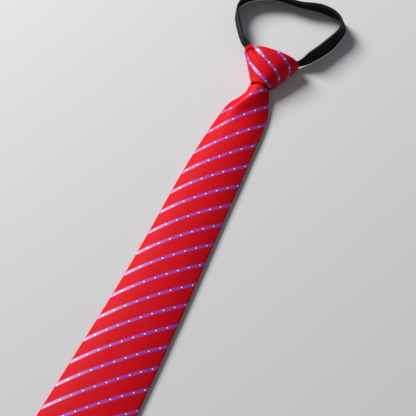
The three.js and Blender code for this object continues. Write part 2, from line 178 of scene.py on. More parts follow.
# %% The stripe and dot group
STRIPE_BLUR = 0.16 * MM
BORDER_WIDTH = 0.35 * MM
BORDER_BLUR = 0.2 * MM
DOT_RADIUS = 0.80 * MM
DOT_BLUR = 0.22 * MM
# The next two size the dark ring round each white dot, the Shade mask: painted shade, the raised dot's
# shadow painted onto the stripe.
DOT_SHADOW_RADIUS = 1.4 * MM
DOT_SHADOW_BLUR = 0.3 * MM
THREAD = 0.42 * MM


def build_pattern_group():
    """Masks of the woven pattern. Along a stripe is u cos a + v sin a, and across it v cos a - u sin a.
    Across over the pitch, rounded, counts the stripe, and what is left over measures from its middle.
    Along, less the stripe's own shift, over the spacing does the same for the dots."""
    group, given, out = new_group(
        "woven_stripe",
        ["Cloth"],
        ["Angle", "Pitch", "Spacing", "Shift", "Across", "Along", "Width"],
        ["Stripe", "Border", "Dot", "Shade", "Twill"],
    )
    take = given.outputs
    parts = group.nodes.new("ShaderNodeSeparateXYZ")
    group.links.new(take["Cloth"], parts.inputs[0])
    u, v = parts.outputs[0], parts.outputs[1]
    cos, sin = math_step(group, "COSINE", take["Angle"]), math_step(group, "SINE", take["Angle"])

    def products(a, b, operation):
        """The product of the pair a, with the product of the pair b added or subtracted."""
        first, second = (math_step(group, "MULTIPLY", *pair) for pair in (a, b))
        return math_step(group, operation, first, second)

    along = math_step(group, "SUBTRACT", products((u, cos), (v, sin), "ADD"), take["Along"])
    across = math_step(group, "SUBTRACT", products((v, cos), (u, sin), "SUBTRACT"), take["Across"])
    count = math_step(group, "ROUND", math_step(group, "DIVIDE", across, take["Pitch"]))
    off_stripe = math_step(group, "SUBTRACT", across, math_step(group, "MULTIPLY", count, take["Pitch"]))
    stripe_gap = math_step(group, "ABSOLUTE", off_stripe)
    shifted = math_step(group, "SUBTRACT", along, math_step(group, "MULTIPLY", count, take["Shift"]))
    step = math_step(group, "ROUND", math_step(group, "DIVIDE", shifted, take["Spacing"]))
    off_dot = math_step(group, "SUBTRACT", shifted, math_step(group, "MULTIPLY", step, take["Spacing"]))
    dot_gap = math_step(group, "SQRT", products((off_dot, off_dot), (off_stripe, off_stripe), "ADD"))
    from_edge = math_step(group, "SUBTRACT", stripe_gap, math_step(group, "MULTIPLY", take["Width"], 0.5))
    stripe = soft_mask(group, from_edge, 0.0, STRIPE_BLUR)
    wide = soft_mask(group, from_edge, BORDER_WIDTH, BORDER_BLUR)
    group.links.new(stripe, out.inputs["Stripe"])
    group.links.new(math_step(group, "SUBTRACT", wide, stripe, clamp=True), out.inputs["Border"])
    group.links.new(soft_mask(group, dot_gap, DOT_RADIUS, DOT_BLUR), out.inputs["Dot"])
    # The Shade mask is a wider ring round each dot, which the silk uses to paint a shadow round it.
    group.links.new(soft_mask(group, dot_gap, DOT_SHADOW_RADIUS, DOT_SHADOW_BLUR), out.inputs["Shade"])
    turns = math_step(group, "MULTIPLY", math_step(group, "ADD", u, v), 2 * math.pi / THREAD)
    group.links.new(math_step(group, "SINE", turns), out.inputs["Twill"])
    return group


PATTERN = build_pattern_group()
print("pattern group:", len(PATTERN.nodes), "nodes")

# %% Helpers for materials
def colour_mix(tree, factor, a, b):
    """A Mix node for colours, each end a socket or a plain colour."""
    node = tree.nodes.new("ShaderNodeMix")
    node.data_type = "RGBA"
    for slot, value in ((node.inputs[0], factor), (node.inputs[6], a), (node.inputs[7], b)):
        if isinstance(value, (tuple, float, int)):
            slot.default_value = value
        else:
            tree.links.new(value, slot)
    return node.outputs[2]


def noise(tree, coordinates, scale):
    """A Noise Texture's grey value on given coordinates."""
    node = tree.nodes.new("ShaderNodeTexNoise")
    node.inputs["Scale"].default_value = scale
    node.inputs["Detail"].default_value = 2.0
    tree.links.new(coordinates, node.inputs["Vector"])
    return node.outputs["Fac"]


def cloth_map(tree):
    """The coordinates on the cloth, which each cloth piece carries as its UV map."""
    node = tree.nodes.new("ShaderNodeUVMap")
    node.uv_map = "cloth"
    return node.outputs[0]


def raise_threads(tree, shader, height, strength, depth):
    """A Bump node that leans the shader's Normal by a height, for threads too fine to model."""
    node = tree.nodes.new("ShaderNodeBump")
    node.inputs["Strength"].default_value = strength
    node.inputs["Distance"].default_value = depth
    tree.links.new(height, node.inputs["Height"])
    tree.links.new(node.outputs[0], shader.inputs["Normal"])


def new_material(name, viewport, **fixed):
    """A material with its Principled shader, its constant values set on the shader's own sockets."""
    material = bpy.data.materials.new(name)
    material.use_nodes = True
    material.diffuse_color = viewport
    shader = material.node_tree.nodes["Principled BSDF"]
    for label, value in fixed.items():
        shader.inputs[label.replace("_", " ")].default_value = value
    return material, material.node_tree, shader

# %% [markdown]
# The ground is a red that wavers a little between two dyes, in broad patches and thread by thread. The
# satin's gloss could come from a strong specular, but that would whiten the red, so a faint red sheen
# stays at the edges and only the stripes, whose threads float longer, get a coat.

# %% The silk material
SILK_RED = (0.80, 0.006, 0.016, 1)
SILK_RED_DEEP = (0.62, 0.003, 0.009, 1)
STRIPE_VIOLET = (0.50, 0.04, 0.42, 1)
BORDER_MAGENTA = (0.30, 0.002, 0.03, 1)
DOT_WHITE = (1.0, 0.97, 1.0, 1)
# The plum below is painted shade: the colour of the dark ring painted round each white dot.
DOT_SHADOW_PLUM = (0.16, 0.02, 0.19, 1)
SATIN_GLOW = (1.0, 0.16, 0.2, 1)
SATIN = {
    "Roughness": 0.5, "Sheen_Weight": 0.02, "Sheen_Roughness": 0.4, "Sheen_Tint": SATIN_GLOW,
    "Specular_IOR_Level": 0.12, "Specular_Tint": SATIN_GLOW, "Coat_Roughness": 0.38, "Coat_IOR": 1.5,
}
STRIPE_GLOSS = 0.9
DOT_SHADOW_STRENGTH = 0.7
# Noise scales per metre of cloth, how the threads lie, and how much each noise deepens the red.
PATCH_SCALE = 38.0
THREAD_SCALE = 1100.0
THREAD_ANGLE = -45.0
THREAD_SHORTENING = 0.22
PATCH_TONE = 0.5
THREAD_TONE = 1.3
TONE_START = -0.4
SILK_RELIEF = 0.35
SILK_THREAD_DEPTH = 0.05 * MM


def silk_material(name, angle, **sizes):
    """Striped silk whose pattern has its own angle in degrees and its sizes and phases in mm."""
    material, tree, shader = new_material(name, SILK_RED, **SATIN)
    uv = cloth_map(tree)
    weave = tree.nodes.new("ShaderNodeGroup")
    weave.node_tree = PATTERN
    tree.links.new(uv, weave.inputs["Cloth"])
    weave.inputs["Angle"].default_value = math.radians(angle)
    for label, value in sizes.items():
        weave.inputs[label].default_value = value * MM
    threads = tree.nodes.new("ShaderNodeMapping")
    threads.inputs["Rotation"].default_value = (0, 0, math.radians(THREAD_ANGLE))
    threads.inputs["Scale"].default_value = (1.0, THREAD_SHORTENING, 1.0)
    tree.links.new(uv, threads.inputs["Vector"])
    broad = noise(tree, uv, PATCH_SCALE)
    fine = noise(tree, threads.outputs[0], THREAD_SCALE)
    patches = math_step(tree, "MULTIPLY_ADD", broad, PATCH_TONE, TONE_START)
    tone = math_step(tree, "MULTIPLY_ADD", fine, THREAD_TONE, patches, clamp=True)
    red = colour_mix(tree, tone, SILK_RED, SILK_RED_DEEP)
    ground = colour_mix(tree, weave.outputs["Border"], red, BORDER_MAGENTA)
    striped = colour_mix(tree, weave.outputs["Stripe"], ground, STRIPE_VIOLET)
    # Painted shade: inside the stripes the colour is darkened to plum in a ring round each white dot.
    shade = math_step(tree, "MULTIPLY", weave.outputs["Shade"], weave.outputs["Stripe"])
    shaded = colour_mix(tree, math_step(tree, "MULTIPLY", shade, DOT_SHADOW_STRENGTH), striped, DOT_SHADOW_PLUM)
    dotted = colour_mix(tree, weave.outputs["Dot"], shaded, DOT_WHITE)
    gloss = math_step(tree, "MULTIPLY", weave.outputs["Stripe"], STRIPE_GLOSS)
    tree.links.new(dotted, shader.inputs["Base Color"])
    tree.links.new(gloss, shader.inputs["Coat Weight"])
    height = math_step(tree, "ADD", weave.outputs["Twill"], fine)
    raise_threads(tree, shader, height, SILK_RELIEF, SILK_THREAD_DEPTH)
    return material


def dot_phase(angle, dot):
    """Across and along of one dot's place: v cos a - u sin a, and u cos a + v sin a."""
    cos, sin = math.cos(math.radians(angle)), math.sin(math.radians(angle))
    return dot[1] * cos - dot[0] * sin, dot[0] * cos + dot[1] * sin


BLADE_ANGLE = 45.26
BLADE_DOT = (-3.9, -226.9)
KNOT_ANGLE = -27.4
blade_across, blade_along = dot_phase(BLADE_ANGLE, BLADE_DOT)
BLADE_SILK = silk_material(
    "blade_silk", BLADE_ANGLE,
    Pitch=16.64, Spacing=10.27, Shift=13.12, Across=blade_across, Along=blade_along, Width=3.25,
)
KNOT_SILK = silk_material(
    "knot_silk", KNOT_ANGLE,
    Pitch=13.56, Spacing=8.75, Shift=-3.28, Across=4.45, Along=-0.5, Width=2.8,
)
print("silk materials:", BLADE_SILK.name, KNOT_SILK.name)

# %% [markdown]
# ## The blade
#
# A tie's blade is one cloth folded round a soft interlining: its two flaps meet in a seam down the
# back, its sides are rolled, never pressed, and its front is gently crowned. A flat sheet with
# Solidify would lose the rolled sides, so the section is drawn as one path, from the seam round the
# left roll, over the crown, round the right roll and back, and the same path a wall's thickness
# further in closes it. The path is carried from the knot's mouth down to the tip.
#
# The outline was measured at a few places, so it stands in a table, and a smooth curve runs through it.

# %% Smooth curves through tables
def smooth_table(at, stops, values):
    """A smooth curve through a table: cubic pieces whose slopes come from the rows on either side."""
    at = np.clip(at, stops[0], stops[-1])
    k = np.clip(np.searchsorted(stops, at, side="right") - 1, 0, len(stops) - 2)
    before, after = np.maximum(k - 1, 0), np.minimum(k + 2, len(stops) - 1)
    span = stops[k + 1] - stops[k]
    t = (at - stops[k]) / span
    slope_a = (values[k + 1] - values[before]) / (stops[k + 1] - stops[before]) * span
    slope_b = (values[after] - values[k]) / (stops[after] - stops[k]) * span
    rise = (2 * t**3 - 3 * t**2 + 1) * values[k] + (t**3 - 2 * t**2 + t) * slope_a
    return rise + (3 * t**2 - 2 * t**3) * values[k + 1] + (t**3 - t**2) * slope_b


def lerp(a, b, t):
    """The value a share t of the way from a to b."""
    return a + (b - a) * t


def smoothstep(x, low, high):
    """A soft step from nought at low to one at high: t squared times three less twice t."""
    t = np.clip((x - low) / (high - low), 0, 1)
    return t * t * (3 - 2 * t)


print("a soft step at a quarter of its way:", smoothstep(0.25, 0, 1))

# %% The blade's sizes and outline
BLADE_LENGTH = 448.0
BLADE_WIDTH = 80.0
BLADE_WALL = 1.2
BLADE_CROWN = 4.4
EDGE_ROLL = 1.9
BACK_ARCH = 2.5
SEAM_GAP = 0.25
TIP_DEPTH = 40.0
TIP_HALF = EDGE_ROLL + 0.6
ARCH_START = (-1.0, 3.0)
CROWN_POWER = 2.4
# Inside the knot the blade is a narrow roll, which it leaves over the last millimetres before the mouth.
NECK_INSERT = 8.0
NECK_LIFT = 4.3
NECK_HALF = 6.5
NECK_ASIDE = 2.0
NECK_THICKNESS = 7.4
NECK_OPENS = (-2.4, 0.0)
# Cloth taken up under the knot, which draws the first stripes towards it: mm, more to the right.
GATHER = 2.8
GATHER_SLANT = 0.13
GATHER_REACH = 25.0
GATHER_FADE = (25.0, 110.0)
# Cloth tucked under the knot's left corner: mm, where it fades along the blade, and where it starts across.
TUCK = 5.0
TUCK_FADE = (4.0, 14.0)
TUCK_SIDE = (5.5, 11.0)
# Share of the length from the mouth; left and right as shares of the width; lift and crown as shares.
BLADE_TABLE = np.array([
    (0.000, 0.150, 0.086, 0.90, 1.10),
    (0.006, 0.157, 0.102, 0.80, 1.12),
    (0.014, 0.160, 0.120, 0.62, 1.10),
    (0.0235, 0.180, 0.138, 0.43, 1.12),
    (0.031, 0.206, 0.154, 0.32, 1.16),
    (0.037, 0.226, 0.166, 0.22, 1.19),
    (0.043, 0.254, 0.178, 0.15, 1.20),
    (0.058, 0.290, 0.200, 0.04, 1.18),
    (0.080, 0.312, 0.217, 0.00, 1.12),
    (0.114, 0.331, 0.235, 0.00, 1.06),
    (0.170, 0.354, 0.252, 0.00, 1.00),
    (0.225, 0.369, 0.274, 0.00, 1.00),
    (0.290, 0.377, 0.293, 0.00, 1.00),
    (0.368, 0.379, 0.322, 0.00, 1.00),
    (0.446, 0.384, 0.350, 0.00, 1.00),
    (0.525, 0.394, 0.377, 0.00, 1.00),
    (0.603, 0.412, 0.400, 0.00, 1.00),
    (0.670, 0.432, 0.420, 0.00, 1.00),
    (0.759, 0.458, 0.443, 0.00, 1.00),
    (0.857, 0.487, 0.472, 0.00, 0.95),
    (0.911, 0.500, 0.488, 0.00, 0.85),
])
PLEAT_RISE = 3.2
PLEAT_DIP = 0.35
PLEAT_STEEP = 2.6
PLEAT_EASE = 9.0
PLEAT_POWER = 6
# The pleat: share of the length, the middle of its steep side as a share of the left, and its rise.
PLEAT_TABLE = np.array([
    (0.000, 0.44, 0.0),
    (0.012, 0.46, 0.5),
    (0.030, 0.49, 0.9),
    (0.045, 0.50, 1.0),
    (0.058, 0.575, 1.0),
    (0.070, 0.63, 0.75),
    (0.085, 0.68, 0.35),
    (0.110, 0.74, 0.0),
])


def blade_sizes(distance):
    """Left, right, lift, crown and arch of the section at each distance from the mouth, in mm. The table
    gives them as shares. At the tip the half width narrows evenly, and crown and arch by the square root
    of what is left. Inside the knot all of them blend into the neck's."""
    share = distance / BLADE_LENGTH
    stops = BLADE_TABLE[:, 0]
    left, right = (smooth_table(share, stops, BLADE_TABLE[:, k]) * BLADE_WIDTH for k in (1, 2))
    lift = np.maximum(smooth_table(share, stops, BLADE_TABLE[:, 3]), 0) * NECK_LIFT
    crown = smooth_table(share, stops, BLADE_TABLE[:, 4]) * BLADE_CROWN
    narrowing = np.clip((BLADE_LENGTH - distance) / TIP_DEPTH, 0, 1)
    half, middle = (left + right) / 2, (right - left) / 2
    half = lerp(TIP_HALF, half, narrowing)
    arch = BACK_ARCH * np.sqrt(narrowing) * smoothstep(distance, *ARCH_START)
    crown = crown * np.sqrt(narrowing)
    left, right = half - middle * narrowing, half + middle * narrowing
    inside = 1 - smoothstep(distance, *NECK_OPENS)
    left, right = lerp(left, NECK_HALF + NECK_ASIDE, inside), lerp(right, NECK_HALF - NECK_ASIDE, inside)
    lift, crown = lerp(lift, NECK_LIFT, inside), lerp(crown, NECK_THICKNESS - 2 * EDGE_ROLL, inside)
    return left, right, lift, crown, arch


some_places = np.array([50.0, 200.0, 400.0])
some_widths = sum(blade_sizes(some_places)[:2])
print("blade widths 50, 200 and 400 mm down, mm:", some_widths.round(1))

# %% The pleat
def pleat_rise(share, x, left):
    """Height that the pleat adds: its lobe at the left dips, then it climbs in a soft step, and past the
    ridge it dies away as a bell. Its share of the rise is read from the table."""
    steep, rise = (smooth_table(share, PLEAT_TABLE[:, 0], PLEAT_TABLE[:, k]) for k in (1, 2))
    inside = (share > 0) & (share < PLEAT_TABLE[-1, 0])
    from_steep = x + steep * left
    climb = smoothstep(from_steep, -PLEAT_STEEP, PLEAT_STEEP)
    ease = np.exp(-((np.maximum(from_steep - PLEAT_STEEP, 0) / PLEAT_EASE) ** 2))
    return np.where(inside, np.maximum(rise, 0) * PLEAT_RISE * (climb * ease - PLEAT_DIP * (1 - climb)), 0)


ridge_height = float(pleat_rise(20 / BLADE_LENGTH, -5, 20))
print("the pleat's height 20 mm down, at its ridge, mm:", round(ridge_height, 2))

# %% The blade's surface
def blade_path(distance, back=26, roll=10, top=76):
    """Points of the section's outer path for an array of distances: rows are sections. With u from
    nought to one out from the seam, the back's height is the arch times one less u cubed. Round a roll
    it is a half circle. Over the front, with u from minus one to one, it is the crown times one less u
    to the crown's power, with the pleat added."""
    left, right, lift, crown, arch = (v[:, None] for v in blade_sizes(distance))
    bend_left, bend_right = EDGE_ROLL - left, right - EDGE_ROLL
    middle = (right - left) / 2
    out = np.linspace(0, 1, back, endpoint=False)[None, :]
    out = out * (2 - out) * 0.5 + out * 0.5
    turn = np.linspace(0, math.pi, roll, endpoint=False)[None, :]
    turn_right = turn + math.pi / roll
    u = -np.cos(np.linspace(0, math.pi, top))[None, :]
    front = (bend_left + bend_right) / 2 + u * (bend_right - bend_left) / 2
    pleat = pleat_rise(distance[:, None] / BLADE_LENGTH, front, left)
    x = np.concatenate([
        lerp(middle - SEAM_GAP / 2, bend_left, out),
        bend_left - EDGE_ROLL * np.sin(turn),
        front,
        bend_right + EDGE_ROLL * np.sin(turn_right),
        lerp(middle + SEAM_GAP / 2, bend_right, out[:, ::-1]),
    ], axis=1)
    z = np.concatenate([
        arch * (1 - out**3),
        EDGE_ROLL * (1 - np.cos(turn)) + 0 * left,
        2 * EDGE_ROLL + crown * (1 - np.abs(u) ** CROWN_POWER) + pleat * (1 - np.abs(u) ** PLEAT_POWER),
        EDGE_ROLL * (1 + np.cos(turn_right)) + 0 * left,
        arch * (1 - out[:, ::-1] ** 3),
    ], axis=1)
    return x, z + lift


def ladder_caps(columns):
    """Quads that close a ring by rungs between its two halves: j, j + 1 and the two across from them."""
    j = np.arange(columns // 2 - 1)
    return np.stack([j, j + 1, columns - 2 - j, columns - 1 - j], axis=-1)


def blade_distances(neck_end=50.0, neck_rows=56, body_rows=130, tip_rows=34, crowding=1.1):
    """Distances of the sections from the mouth: close together at the neck and the tip, by a power of
    even shares at the neck and evenly after it."""
    shoulder = BLADE_LENGTH - TIP_DEPTH
    shares = np.linspace(0, 1, neck_rows, endpoint=False)
    neck = -NECK_INSERT + (NECK_INSERT + neck_end) * shares**crowding
    body = np.linspace(neck_end, shoulder, body_rows, endpoint=False)
    return np.concatenate([neck, body, np.linspace(shoulder, BLADE_LENGTH, tip_rows)])


def gathered_cloth(distance, u):
    """How much cloth is drawn up at each place: the gather with its slant across, dying away down the
    blade in a soft step, and the tuck at the left corner in another."""
    slant = GATHER + GATHER_SLANT * np.clip(u, -GATHER_REACH, GATHER_REACH)
    gathered = (1 - smoothstep(distance, *GATHER_FADE))[:, None] * slant
    tucked = (1 - smoothstep(distance, *TUCK_FADE))[:, None] * smoothstep(-u, *TUCK_SIDE)
    return gathered + TUCK * tucked


def build_blade(material):
    """The blade's closed tube. A wall's thickness inside the outer path, square to it, lies the inner
    path. The cloth's u is the length round the path from the axis, and its v the distance, drawn up."""
    distance = blade_distances()
    x, z = blade_path(distance)
    way_x, way_z = np.gradient(x, axis=1), np.gradient(z, axis=1)
    size = np.hypot(way_x, way_z) + 1e-9
    inner_x = x + way_z / size * BLADE_WALL
    inner_z = z - way_x / size * BLADE_WALL
    arc = np.cumsum(np.hypot(np.diff(x, prepend=x[:, :1]), np.diff(z, prepend=z[:, :1])), axis=1)
    not_front = z <= np.median(z, axis=1, keepdims=True)
    axis_column = np.argmin(np.abs(x) + BLADE_LENGTH * not_front, axis=1)[:, None]
    cloth_u = arc - np.take_along_axis(arc - x, axis_column, axis=1)
    ring_x = np.concatenate([x, inner_x[:, ::-1]], axis=1)
    ring_z = np.concatenate([z, inner_z[:, ::-1]], axis=1)
    ring_u = np.concatenate([cloth_u, cloth_u[:, ::-1], cloth_u[:, :1]], axis=1)
    ring_y = np.repeat(-distance[:, None], ring_x.shape[1], axis=1)
    grid = np.stack([ring_x, ring_y, ring_z], axis=-1)
    cloth = np.stack([ring_u, -distance[:, None] - gathered_cloth(distance, ring_u)], axis=-1)
    caps = ladder_caps(ring_x.shape[1])
    return grid_piece("blade_cloth", grid, material, cloth, wrap_columns=True, caps=caps)


blade = build_blade(BLADE_SILK)
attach(blade, "root")
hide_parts("front_blade")

# %% [markdown]
# ## The knot
#
# A ready-made knot is cloth drawn over a stiff hollow shell: wide and full at the top, narrow at the
# mouth. It is one wall that turns in at both rims, so the grid runs up the outside, over the top rim,
# down the inside and round the mouth's rim, and closes on itself like a ring.
#
# A section's round front and flat back come from a superellipse, whose power makes it squarer. The rim's
# small lip, notch and low corner at the left, and the creases, are bells that are added to it.

# %% The knot's sizes
KNOT_LENGTH = 37.0
KNOT_TOP_WIDTH = 52.2
KNOT_MOUTH_WIDTH = 17.6
KNOT_TOP_HEIGHT = 20.5
KNOT_MOUTH_HEIGHT = 14.0
KNOT_WALL = 1.7
KNOT_WAIST = 0.36
BACK_FULLNESS = 3.2
BACK_FLATNESS = 1.12
MOUTH_OFFSET = -2.0
TOP_OFFSET = -5.2
# Extra width at the left, at the mouth and above it.
MOUTH_LEFT = 1.5
KNOT_LEFT = 0.6
# The mouth's edge: how far it rises towards the floor at its left and right sides, and everywhere.
MOUTH_CURVE = 4.5
MOUTH_SIDES = (0.35, 1.30)
MOUTH_LIFT = 1.0
# Bells along the top rim: height in mm, then middle and width as shares across, from -1 at the left.
LIP = (1.5, -0.82, 0.09)
NOTCH = (1.8, -0.62, 0.13)
CORNER = (2.2, -1.0, 0.13)
# The dent under the lip: the same across, with its middle and width along the knot in DENT_ALONG.
DENT = (1.1, -0.62, 0.2)
DENT_ALONG = (0.85, 0.14)
RIM_POWER = 6
# Share of the length, of the widening, of the rise in height, and the squareness of the front.
KNOT_TABLE = np.array([
    (0.00, 0.00, 0.00, 2.20),
    (0.11, 0.05, 0.12, 2.20),
    (0.235, 0.18, 0.30, 2.25),
    (0.36, 0.32, 0.50, 2.30),
    (0.49, 0.47, 0.68, 2.35),
    (0.62, 0.61, 0.82, 2.40),
    (0.75, 0.75, 0.93, 2.45),
    (0.875, 0.88, 1.00, 2.50),
    (1.00, 1.00, 0.99, 2.50),
])
print("knot, mm: length", KNOT_LENGTH, "top width", KNOT_TOP_WIDTH, "mouth width", KNOT_MOUTH_WIDTH)

# %% The knot's creases
# Each crease as seen from the front, in mm: both ends, half width, depth, and whether
# the crease fades out towards its second end. The first two are the hollow under the lip, the next two
# run down beside the stripes, and the last, of negative depth, is the roll of cloth along the rim.
CREASE_TABLE = np.array([
    (-31.5, 29.6, -27.6, 32.0, 0.9, 1.5, 0),
    (-27.6, 32.0, -21.8, 33.4, 0.9, 2.5, 0),
    (-22.8, 31.8, -4.0, 18.0, 1.0, 1.5, 1),
    (-28.0, 28.5, -8.0, 10.0, 1.4, 1.6, 1),
    (-31.0, 34.6, -24.5, 36.4, 1.0, -0.5, 0),
])
CREASE_PULL = 0.6


def crease_depth(x, y):
    """How far the creases sink the front: for each, its depth times a bell of the distance to its line,
    and a fading one also times one less the share along it."""
    total = 0
    for x0, y0, x1, y1, wide, deep, fades in CREASE_TABLE:
        run_x, run_y = x1 - x0, y1 - y0
        share = np.clip(((x - x0) * run_x + (y - y0) * run_y) / (run_x**2 + run_y**2), 0, 1)
        away = np.hypot(x - x0 - share * run_x, y - y0 - share * run_y)
        total = total + deep * (1 - fades * share) * np.exp(-((away / wide) ** 2))
    return total


print("creases:", len(CREASE_TABLE), "the deepest", CREASE_TABLE[:, 5].max(), "mm")

# %% The knot's surface
def bell(at, height, middle, width):
    """A bell: the height times e to the minus square of the distance from the middle over the width."""
    return height * np.exp(-(((at - middle) / width) ** 2))


def knot_points(along, inset, around):
    """Points of the wall at shares along the knot, insets from its outside in mm, and angles around.
    A section is a superellipse: across goes the half width times the cosine to a power, and up the
    height times the sine to the same power, a flat back under a waist line and a round front over it.
    The front sinks by the dent and the creases. The top rim rises by its lip and falls by its notch and
    corner, and the mouth's edge rises towards the floor, more at its right."""
    spread, rise, full = (smooth_table(along, KNOT_TABLE[:, 0], KNOT_TABLE[:, k]) for k in (1, 2, 3))
    half = lerp(KNOT_MOUTH_WIDTH, KNOT_TOP_WIDTH, spread) / 2
    height = lerp(KNOT_MOUTH_HEIGHT, KNOT_TOP_HEIGHT, rise)
    middle = lerp(MOUTH_OFFSET, TOP_OFFSET, spread)
    waist = height * KNOT_WAIST
    cos, sin = np.cos(around), np.sin(around)
    power = np.where(sin > 0, 2 / full, 2 / BACK_FULLNESS)
    side = half - inset + np.where(cos < 0, lerp(MOUTH_LEFT, KNOT_LEFT, smoothstep(along, 0, 0.5)), 0)
    x = middle + side * np.sign(cos) * np.abs(cos) ** power
    rising = np.sign(sin) * np.abs(sin) ** power
    across = (x - middle) / half
    dent = bell(across, *DENT) * bell(along, 1, *DENT_ALONG)
    sink = crease_depth(x, along * KNOT_LENGTH) * np.clip(sin * 4, 0, 1)
    x = x - CREASE_PULL * sink * across
    front = waist + (height - waist - inset) * rising - dent - sink
    back = waist + (waist - inset) * np.maximum(rising * BACK_FLATNESS, -1)
    z = np.where(sin > 0, front, back)
    lip_and_notch = bell(across, *LIP) - bell(across, *NOTCH)
    top = along**RIM_POWER * (np.where(sin > 0, lip_and_notch, 0) - bell(across, *CORNER))
    lowness = 1 - np.maximum(rising, 0)
    sided = lerp(*MOUTH_SIDES, (1 + across.clip(-1, 1)) / 2)
    mouth = (1 - along) ** RIM_POWER * (lowness**1.5 * sided * MOUTH_CURVE + MOUTH_LIFT)
    return np.stack([x, along * KNOT_LENGTH + top + mouth, z], axis=-1)


# How the knot's cloth bends: shares of u squared, u cubed and u times v, and a bell by the mouth's left.
BEND_REACH = 40.0
BEND_SHARES = (-0.00316, 0.0000682, 0.0010)
BEND_AT_MOUTH = (3.8, -19.0, 7.0)
BEND_UP = 6.0


def bend_cloth(u, v):
    """Cloth coordinates of the knot. The cloth is drawn round on the bias, so its stripes bend: v gains
    a share of u squared, of u cubed and of u times v, and at the mouth's left corner a bell."""
    near = np.clip(u, -BEND_REACH, BEND_REACH)
    square, cube, slant = BEND_SHARES
    bend = square * near**2 + cube * near**3 + slant * near * v
    bend = bend + bell(u, *BEND_AT_MOUTH) * bell(v, 1, 0, BEND_UP)
    return np.stack([u, v + bend / math.cos(math.radians(KNOT_ANGLE))], axis=-1)


def build_knot(material, around_steps=216, outer_steps=76, inner_steps=26, rim_steps=7):
    """The knot's wall, row by row up the outside, round the top rim, down the inside and round the
    mouth's rim, where the inset goes as one less the cosine. Cloth coordinates are the length of cloth
    round from the middle of the front, and the length up from the mouth."""
    angle = -math.pi / 2 - (np.arange(around_steps) + 0.5) / around_steps * 2 * math.pi
    curl = KNOT_WALL / 2 / KNOT_LENGTH
    low, high = curl, 1 - curl
    outer = np.linspace(low, high, outer_steps)
    rim = np.linspace(0, math.pi, rim_steps + 2)[1:-1]
    inner = np.linspace(high, low, inner_steps)
    along = np.concatenate([outer, high + curl * np.sin(rim), inner, low - curl * np.sin(rim)])
    roll = KNOT_WALL / 2 * (1 - np.cos(rim))
    inset = np.concatenate([0 * outer, roll, KNOT_WALL + 0 * inner, roll[::-1]])
    a, b = np.meshgrid(along, angle, indexing="ij")
    points = knot_points(a, np.repeat(inset[:, None], around_steps, axis=1), b)
    step = np.linalg.norm(np.diff(points, axis=1, append=points[:, :1]), axis=-1)
    arc = np.concatenate([np.zeros((len(along), 1)), np.cumsum(step, axis=1)], axis=1)
    arc = arc - arc[:, around_steps // 2][:, None]
    up = np.repeat((along * KNOT_LENGTH)[:, None], around_steps + 1, axis=1)
    middle = lerp(MOUTH_OFFSET, TOP_OFFSET, smooth_table(along, KNOT_TABLE[:, 0], KNOT_TABLE[:, 1]))
    cloth = bend_cloth(arc + middle[:, None], up)
    cloth = np.concatenate([cloth, cloth[:1]], axis=0)
    return grid_piece("knot_cloth", points, material, cloth, wrap_rows=True, wrap_columns=True)


knot = build_knot(KNOT_SILK)
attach(knot, "root")
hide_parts("knot_wrap")

# %% [markdown]
# ## The neck strap
#
# The strap is woven zip tape, standing on edge in a loop. A band that follows a route is simplest as a
# small round-edged section carried along it, always upright, so it can't twist as a curve's own frames
# would. The route is a chain of points through which a smooth curve runs, by chord length.

# %% The strap's route
STRAP_HEIGHT = 14.5
STRAP_THICKNESS = 1.1
STRAP_LEAN = 4.0
LOOP_WIDTH = 101.0
LOOP_DEPTH = 73.5
LOOP_MIDDLE = -8.0
KNOT_FLOOR = 2.0
SLIDER_WIDTH = 11.0
SLIDER_TOP = 24.0
# Where each end stops: beside the slider's middle as a share of its width, a gap off it, and how tall.
END_ASIDE = 0.25
END_GAP = 0.3
END_HEIGHT = 0.41
# Across as a share of the loop's width, depth beyond the knot as a share, lift and height as shares,
# and how far the strap leans as a share of its greatest lean.
STRAP_TABLE = np.array([
    (-0.060, -0.063, 1.0, 0.56, 0.0),
    (-0.150, 0.000, 1.2, 0.66, 0.0),
    (-0.232, 0.063, 0.9, 0.82, 0.0),
    (-0.312, 0.145, 0.0, 1.0, 0.0),
    (-0.416, 0.353, 0.0, 1.0, 0.3),
    (-0.483, 0.536, 0.0, 1.0, 0.4),
    (-0.474, 0.710, 0.0, 1.0, 0.7),
    (-0.385, 0.840, 0.0, 1.0, 1.0),
    (-0.200, 0.938, 0.0, 1.0, 1.2),
    (0.020, 0.942, 0.0, 1.0, 1.2),
    (0.200, 0.981, 0.0, 1.0, 0.4),
    (0.330, 0.968, 0.0, 1.0, 0.4),
    (0.424, 0.926, 0.0, 1.0, 1.1),
    (0.476, 0.835, 0.0, 1.0, 0.9),
    (0.486, 0.700, 0.0, 1.0, 0.6),
    (0.436, 0.459, 0.0, 1.0, 1.0),
    (0.338, 0.189, 0.0, 1.0, 0.4),
    (0.270, 0.073, 0.3, 0.62, 0.0),
    (0.190, 0.005, 1.0, 0.56, 0.0),
    (0.110, -0.063, 1.0, 0.56, 0.0),
])


def length_along(rows):
    """The length so far at each row of a chain: the distances across the floor, added up."""
    return np.concatenate([[0], np.cumsum(np.hypot(*np.diff(rows[:, :2], axis=0).T))])


